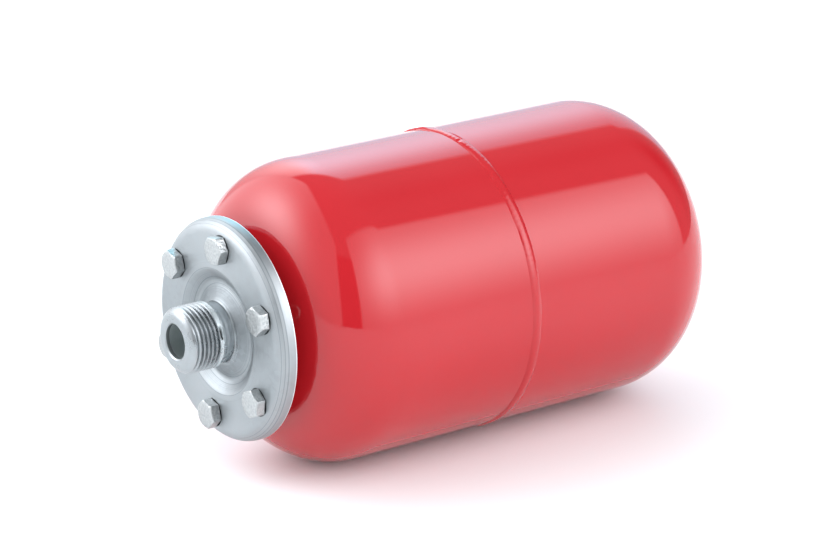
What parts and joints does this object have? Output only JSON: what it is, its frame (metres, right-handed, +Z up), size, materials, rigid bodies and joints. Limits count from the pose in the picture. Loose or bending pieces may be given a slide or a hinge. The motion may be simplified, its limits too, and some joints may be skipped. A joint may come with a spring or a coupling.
{
  "type": "expansion tank",
  "caption": "Small in-line membrane expansion tank: red pressed-steel vessel with a bolted galvanised flange, male pipe thread and gas valve.",
  "frame": {"origin": "on the tank's axis, where the connection thread ends towards the flange", "axes": "+X along the tank from the water connection to the gas valve, +Z up, the tank lying level as in the picture"},
  "size_m": [0.3214, 0.1548, 0.1548],
  "materials": {
    "red_paint": "glossy red powder coat on pressed steel",
    "galvanised_sheet": "bright galvanised steel",
    "zinc_plate": "bright zinc plated steel",
    "bladder_rubber": "smooth black rubber",
    "seal_rubber": "black rubber",
    "valve_brass": "turned brass",
    "spring_steel": "bright spring wire",
    "cap_plastic": "black moulded plastic"
  },
  "bodies": {
    "tank": {"front_half": "red_paint", "rear_half": "red_paint", "girth_weld": "red_paint", "neck_ring": "red_paint", "neck_weld": "red_paint", "bladder": "bladder_rubber", "flange": "galvanised_sheet", "flange_bolts": "zinc_plate", "valve_stem": "valve_brass", "valve_gasket": "seal_rubber", "valve_washer": "zinc_plate", "valve_nut": "zinc_plate", "core_plug": "valve_brass", "core_barrel": "valve_brass", "core_seal": "seal_rubber", "core_spring": "spring_steel"},
    "core_pin": {"core_pin": "valve_brass", "core_cup": "valve_brass", "core_cup_seal": "seal_rubber"},
    "cap_liner": {"cap_gasket": "seal_rubber"},
    "cap": {"valve_cap": "cap_plastic"}
  },
  "joints": [
    {"name": "core_pin_press", "type": "slide", "parent": "tank", "child": "core_pin", "axis": [-1, 0, 0], "range_m": [0, 0.0012], "stiffness_N_per_m": 1500, "springref_m": -0.0008, "deforming": ["core_spring"]},
    {"name": "cap_travel", "type": "slide", "parent": "tank", "child": "cap_liner", "axis": [1, 0, 0], "range_m": [0, 0.00397]},
    {"name": "cap_turn", "type": "hinge", "parent": "cap_liner", "child": "cap", "pos_m": [0.3007, 0, 0], "axis": [1, 0, 0], "range_deg": [0, 1800]}
  ],
  "couplings": [
    {"joint": "cap_turn", "follows": "cap_travel", "rad_per_m": 7915.8}
  ]
}
